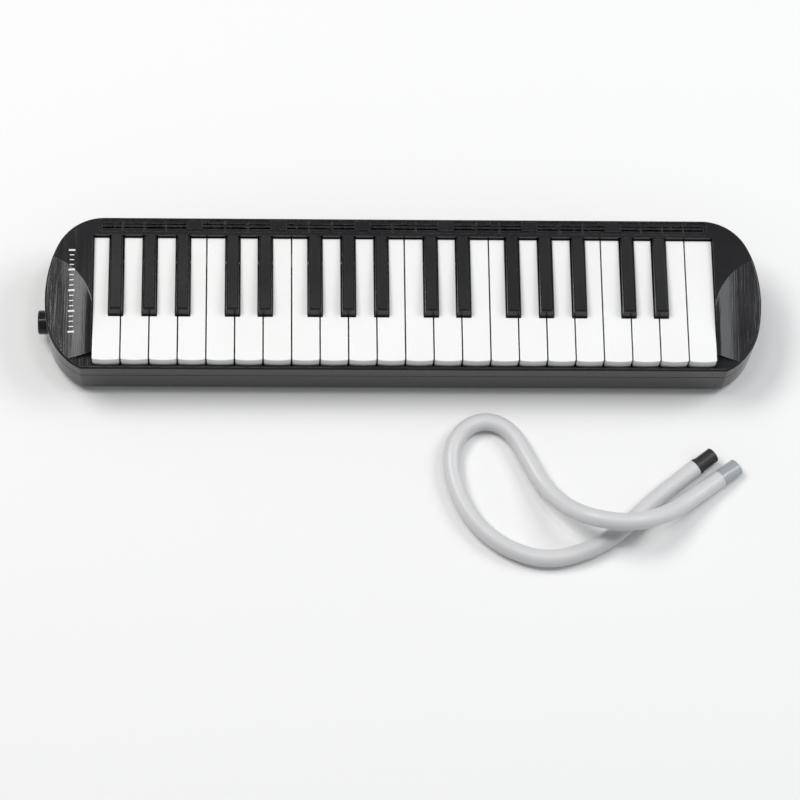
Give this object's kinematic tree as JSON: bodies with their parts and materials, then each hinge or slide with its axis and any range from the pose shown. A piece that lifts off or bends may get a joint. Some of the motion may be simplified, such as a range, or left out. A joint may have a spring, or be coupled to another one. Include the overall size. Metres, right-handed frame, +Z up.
{
  "type": "melodica",
  "caption": "Free-reed wind keyboard in a black case with rounded ends, see-saw keys, a vent rail and a separate blowing hose.",
  "frame": {"origin": "middle of the instrument's footprint on the table, hose left out of the count", "axes": "+X along the keyboard towards the high notes, -Y towards the player, +Z up"},
  "size_m": [0.431, 0.2055, 0.048],
  "materials": {
    "case_black": "gloss black moulded plastic",
    "key_white": "gloss white moulded plastic",
    "key_black": "satin dark plastic",
    "inner_plastic": "grey moulded plastic",
    "plate_metal": "milled plate",
    "reed_brass": "rolled bronze strip",
    "soft_black": "soft rubber",
    "steel": "drawn steel",
    "screw_steel": "plated steel",
    "felt": "pressed felt",
    "hose_soft": "soft light grey tube",
    "fitting_black": "moulded plastic",
    "tip_grey": "translucent grey plastic"
  },
  "bodies": {
    "case": {"upper_cover": "case_black", "lower_cover": "case_black", "mouthpiece_socket": "case_black", "reed_block": "inner_plastic", "chamber_tray": "inner_plastic", "stop_rail": "inner_plastic", "reed_plates": "plate_metal", "reeds": "reed_brass", "chamber_gasket": "soft_black", "socket_seal": "soft_black", "rubber_feet": "soft_black", "key_shaft": "steel", "shaft_brackets": "steel", "key_springs": "steel", "drain_spring": "steel", "cover_screws": "screw_steel", "inner_screws": "screw_steel", "stop_felt": "felt"},
    "white_key_01": {"white_key_01": "key_white"},
    "white_key_02": {"white_key_02": "key_white"},
    "white_key_03": {"white_key_03": "key_white"},
    "white_key_04": {"white_key_04": "key_white"},
    "white_key_05": {"white_key_05": "key_white"},
    "white_key_06": {"white_key_06": "key_white"},
    "white_key_07": {"white_key_07": "key_white"},
    "white_key_08": {"white_key_08": "key_white"},
    "white_key_09": {"white_key_09": "key_white"},
    "white_key_10": {"white_key_10": "key_white"},
    "white_key_11": {"white_key_11": "key_white"},
    "white_key_12": {"white_key_12": "key_white"},
    "white_key_13": {"white_key_13": "key_white"},
    "white_key_14": {"white_key_14": "key_white"},
    "white_key_15": {"white_key_15": "key_white"},
    "white_key_16": {"white_key_16": "key_white"},
    "white_key_17": {"white_key_17": "key_white"},
    "white_key_18": {"white_key_18": "key_white"},
    "white_key_19": {"white_key_19": "key_white"},
    "white_key_20": {"white_key_20": "key_white"},
    "white_key_21": {"white_key_21": "key_white"},
    "white_key_22": {"white_key_22": "key_white"},
    "black_key_01": {"black_key_01": "key_black"},
    "black_key_02": {"black_key_02": "key_black"},
    "black_key_03": {"black_key_03": "key_black"},
    "black_key_04": {"black_key_04": "key_black"},
    "black_key_05": {"black_key_05": "key_black"},
    "black_key_06": {"black_key_06": "key_black"},
    "black_key_07": {"black_key_07": "key_black"},
    "black_key_08": {"black_key_08": "key_black"},
    "black_key_09": {"black_key_09": "key_black"},
    "black_key_10": {"black_key_10": "key_black"},
    "black_key_11": {"black_key_11": "key_black"},
    "black_key_12": {"black_key_12": "key_black"},
    "black_key_13": {"black_key_13": "key_black"},
    "black_key_14": {"black_key_14": "key_black"},
    "black_key_15": {"black_key_15": "key_black"},
    "drain_valve": {"drain_button": "case_black", "drain_seal": "soft_black"},
    "hose": {"hose_tube": "hose_soft", "hose_connector": "fitting_black", "hose_mouthpiece": "tip_grey"}
  },
  "joints": [
    {"name": "white_key_01_rock", "type": "hinge", "parent": "case", "child": "white_key_01", "pos_m": [-0.1739, 0.023, 0.031], "axis": [1, 0, 0], "range_deg": [0, 4], "stiffness_Nm_per_rad": 0.29, "springref_deg": -8.31, "deforming": ["key_springs"]},
    {"name": "white_key_02_rock", "type": "hinge", "parent": "case", "child": "white_key_02", "pos_m": [-0.1571, 0.023, 0.031], "axis": [1, 0, 0], "range_deg": [0, 4], "stiffness_Nm_per_rad": 0.29, "springref_deg": -8.31, "deforming": ["key_springs"]},
    {"name": "white_key_03_rock", "type": "hinge", "parent": "case", "child": "white_key_03", "pos_m": [-0.1403, 0.023, 0.031], "axis": [1, 0, 0], "range_deg": [0, 4], "stiffness_Nm_per_rad": 0.29, "springref_deg": -8.31, "deforming": ["key_springs"]},
    {"name": "white_key_04_rock", "type": "hinge", "parent": "case", "child": "white_key_04", "pos_m": [-0.1235, 0.023, 0.031], "axis": [1, 0, 0], "range_deg": [0, 4], "stiffness_Nm_per_rad": 0.29, "springref_deg": -8.31, "deforming": ["key_springs"]},
    {"name": "white_key_05_rock", "type": "hinge", "parent": "case", "child": "white_key_05", "pos_m": [-0.1067, 0.023, 0.031], "axis": [1, 0, 0], "range_deg": [0, 4], "stiffness_Nm_per_rad": 0.29, "springref_deg": -8.31, "deforming": ["key_springs"]},
    {"name": "white_key_06_rock", "type": "hinge", "parent": "case", "child": "white_key_06", "pos_m": [-0.0899, 0.023, 0.031], "axis": [1, 0, 0], "range_deg": [0, 4], "stiffness_Nm_per_rad": 0.29, "springref_deg": -8.31, "deforming": ["key_springs"]},
    {"name": "white_key_07_rock", "type": "hinge", "parent": "case", "child": "white_key_07", "pos_m": [-0.0731, 0.023, 0.031], "axis": [1, 0, 0], "range_deg": [0, 4], "stiffness_Nm_per_rad": 0.29, "springref_deg": -8.31, "deforming": ["key_springs"]},
    {"name": "white_key_08_rock", "type": "hinge", "parent": "case", "child": "white_key_08", "pos_m": [-0.0563, 0.023, 0.031], "axis": [1, 0, 0], "range_deg": [0, 4], "stiffness_Nm_per_rad": 0.29, "springref_deg": -8.31, "deforming": ["key_springs"]},
    {"name": "white_key_09_rock", "type": "hinge", "parent": "case", "child": "white_key_09", "pos_m": [-0.0395, 0.023, 0.031], "axis": [1, 0, 0], "range_deg": [0, 4], "stiffness_Nm_per_rad": 0.29, "springref_deg": -8.31, "deforming": ["key_springs"]},
    {"name": "white_key_10_rock", "type": "hinge", "parent": "case", "child": "white_key_10", "pos_m": [-0.0227, 0.023, 0.031], "axis": [1, 0, 0], "range_deg": [0, 4], "stiffness_Nm_per_rad": 0.29, "springref_deg": -8.31, "deforming": ["key_springs"]},
    {"name": "white_key_11_rock", "type": "hinge", "parent": "case", "child": "white_key_11", "pos_m": [-0.0059, 0.023, 0.031], "axis": [1, 0, 0], "range_deg": [0, 4], "stiffness_Nm_per_rad": 0.29, "springref_deg": -8.31, "deforming": ["key_springs"]},
    {"name": "white_key_12_rock", "type": "hinge", "parent": "case", "child": "white_key_12", "pos_m": [0.0109, 0.023, 0.031], "axis": [1, 0, 0], "range_deg": [0, 4], "stiffness_Nm_per_rad": 0.29, "springref_deg": -8.31, "deforming": ["key_springs"]},
    {"name": "white_key_13_rock", "type": "hinge", "parent": "case", "child": "white_key_13", "pos_m": [0.0277, 0.023, 0.031], "axis": [1, 0, 0], "range_deg": [0, 4], "stiffness_Nm_per_rad": 0.29, "springref_deg": -8.31, "deforming": ["key_springs"]},
    {"name": "white_key_14_rock", "type": "hinge", "parent": "case", "child": "white_key_14", "pos_m": [0.0445, 0.023, 0.031], "axis": [1, 0, 0], "range_deg": [0, 4], "stiffness_Nm_per_rad": 0.29, "springref_deg": -8.31, "deforming": ["key_springs"]},
    {"name": "white_key_15_rock", "type": "hinge", "parent": "case", "child": "white_key_15", "pos_m": [0.0613, 0.023, 0.031], "axis": [1, 0, 0], "range_deg": [0, 4], "stiffness_Nm_per_rad": 0.29, "springref_deg": -8.31, "deforming": ["key_springs"]},
    {"name": "white_key_16_rock", "type": "hinge", "parent": "case", "child": "white_key_16", "pos_m": [0.0781, 0.023, 0.031], "axis": [1, 0, 0], "range_deg": [0, 4], "stiffness_Nm_per_rad": 0.29, "springref_deg": -8.31, "deforming": ["key_springs"]},
    {"name": "white_key_17_rock", "type": "hinge", "parent": "case", "child": "white_key_17", "pos_m": [0.0949, 0.023, 0.031], "axis": [1, 0, 0], "range_deg": [0, 4], "stiffness_Nm_per_rad": 0.29, "springref_deg": -8.31, "deforming": ["key_springs"]},
    {"name": "white_key_18_rock", "type": "hinge", "parent": "case", "child": "white_key_18", "pos_m": [0.1117, 0.023, 0.031], "axis": [1, 0, 0], "range_deg": [0, 4], "stiffness_Nm_per_rad": 0.29, "springref_deg": -8.31, "deforming": ["key_springs"]},
    {"name": "white_key_19_rock", "type": "hinge", "parent": "case", "child": "white_key_19", "pos_m": [0.1285, 0.023, 0.031], "axis": [1, 0, 0], "range_deg": [0, 4], "stiffness_Nm_per_rad": 0.29, "springref_deg": -8.31, "deforming": ["key_springs"]},
    {"name": "white_key_20_rock", "type": "hinge", "parent": "case", "child": "white_key_20", "pos_m": [0.1453, 0.023, 0.031], "axis": [1, 0, 0], "range_deg": [0, 4], "stiffness_Nm_per_rad": 0.29, "springref_deg": -8.31, "deforming": ["key_springs"]},
    {"name": "white_key_21_rock", "type": "hinge", "parent": "case", "child": "white_key_21", "pos_m": [0.1621, 0.023, 0.031], "axis": [1, 0, 0], "range_deg": [0, 4], "stiffness_Nm_per_rad": 0.29, "springref_deg": -8.31, "deforming": ["key_springs"]},
    {"name": "white_key_22_rock", "type": "hinge", "parent": "case", "child": "white_key_22", "pos_m": [0.1789, 0.023, 0.031], "axis": [1, 0, 0], "range_deg": [0, 4], "stiffness_Nm_per_rad": 0.29, "springref_deg": -8.31, "deforming": ["key_springs"]},
    {"name": "black_key_01_rock", "type": "hinge", "parent": "case", "child": "black_key_01", "pos_m": [-0.1684, 0.023, 0.031], "axis": [1, 0, 0], "range_deg": [0, 4], "stiffness_Nm_per_rad": 0.29, "springref_deg": -8.31, "deforming": ["key_springs"]},
    {"name": "black_key_02_rock", "type": "hinge", "parent": "case", "child": "black_key_02", "pos_m": [-0.1487, 0.023, 0.031], "axis": [1, 0, 0], "range_deg": [0, 4], "stiffness_Nm_per_rad": 0.29, "springref_deg": -8.31, "deforming": ["key_springs"]},
    {"name": "black_key_03_rock", "type": "hinge", "parent": "case", "child": "black_key_03", "pos_m": [-0.129, 0.023, 0.031], "axis": [1, 0, 0], "range_deg": [0, 4], "stiffness_Nm_per_rad": 0.29, "springref_deg": -8.31, "deforming": ["key_springs"]},
    {"name": "black_key_04_rock", "type": "hinge", "parent": "case", "child": "black_key_04", "pos_m": [-0.0996, 0.023, 0.031], "axis": [1, 0, 0], "range_deg": [0, 4], "stiffness_Nm_per_rad": 0.29, "springref_deg": -8.31, "deforming": ["key_springs"]},
    {"name": "black_key_05_rock", "type": "hinge", "parent": "case", "child": "black_key_05", "pos_m": [-0.0803, 0.023, 0.031], "axis": [1, 0, 0], "range_deg": [0, 4], "stiffness_Nm_per_rad": 0.29, "springref_deg": -8.31, "deforming": ["key_springs"]},
    {"name": "black_key_06_rock", "type": "hinge", "parent": "case", "child": "black_key_06", "pos_m": [-0.0508, 0.023, 0.031], "axis": [1, 0, 0], "range_deg": [0, 4], "stiffness_Nm_per_rad": 0.29, "springref_deg": -8.31, "deforming": ["key_springs"]},
    {"name": "black_key_07_rock", "type": "hinge", "parent": "case", "child": "black_key_07", "pos_m": [-0.0311, 0.023, 0.031], "axis": [1, 0, 0], "range_deg": [0, 4], "stiffness_Nm_per_rad": 0.29, "springref_deg": -8.31, "deforming": ["key_springs"]},
    {"name": "black_key_08_rock", "type": "hinge", "parent": "case", "child": "black_key_08", "pos_m": [-0.0114, 0.023, 0.031], "axis": [1, 0, 0], "range_deg": [0, 4], "stiffness_Nm_per_rad": 0.29, "springref_deg": -8.31, "deforming": ["key_springs"]},
    {"name": "black_key_09_rock", "type": "hinge", "parent": "case", "child": "black_key_09", "pos_m": [0.018, 0.023, 0.031], "axis": [1, 0, 0], "range_deg": [0, 4], "stiffness_Nm_per_rad": 0.29, "springref_deg": -8.31, "deforming": ["key_springs"]},
    {"name": "black_key_10_rock", "type": "hinge", "parent": "case", "child": "black_key_10", "pos_m": [0.0373, 0.023, 0.031], "axis": [1, 0, 0], "range_deg": [0, 4], "stiffness_Nm_per_rad": 0.29, "springref_deg": -8.31, "deforming": ["key_springs"]},
    {"name": "black_key_11_rock", "type": "hinge", "parent": "case", "child": "black_key_11", "pos_m": [0.0668, 0.023, 0.031], "axis": [1, 0, 0], "range_deg": [0, 4], "stiffness_Nm_per_rad": 0.29, "springref_deg": -8.31, "deforming": ["key_springs"]},
    {"name": "black_key_12_rock", "type": "hinge", "parent": "case", "child": "black_key_12", "pos_m": [0.0865, 0.023, 0.031], "axis": [1, 0, 0], "range_deg": [0, 4], "stiffness_Nm_per_rad": 0.29, "springref_deg": -8.31, "deforming": ["key_springs"]},
    {"name": "black_key_13_rock", "type": "hinge", "parent": "case", "child": "black_key_13", "pos_m": [0.1062, 0.023, 0.031], "axis": [1, 0, 0], "range_deg": [0, 4], "stiffness_Nm_per_rad": 0.29, "springref_deg": -8.31, "deforming": ["key_springs"]},
    {"name": "black_key_14_rock", "type": "hinge", "parent": "case", "child": "black_key_14", "pos_m": [0.1356, 0.023, 0.031], "axis": [1, 0, 0], "range_deg": [0, 4], "stiffness_Nm_per_rad": 0.29, "springref_deg": -8.31, "deforming": ["key_springs"]},
    {"name": "black_key_15_rock", "type": "hinge", "parent": "case", "child": "black_key_15", "pos_m": [0.1549, 0.023, 0.031], "axis": [1, 0, 0], "range_deg": [0, 4], "stiffness_Nm_per_rad": 0.29, "springref_deg": -8.31, "deforming": ["key_springs"]},
    {"name": "drain_press", "type": "slide", "parent": "case", "child": "drain_valve", "axis": [0, 0, 1], "range_m": [0, 0.0014], "stiffness_N_per_m": 80, "springref_m": -0.003, "deforming": ["drain_spring"]},
    {"name": "hose_lift", "type": "slide", "parent": "case", "child": "hose", "axis": [0, 0, 1], "range_m": [0, 0.1]}
  ]
}
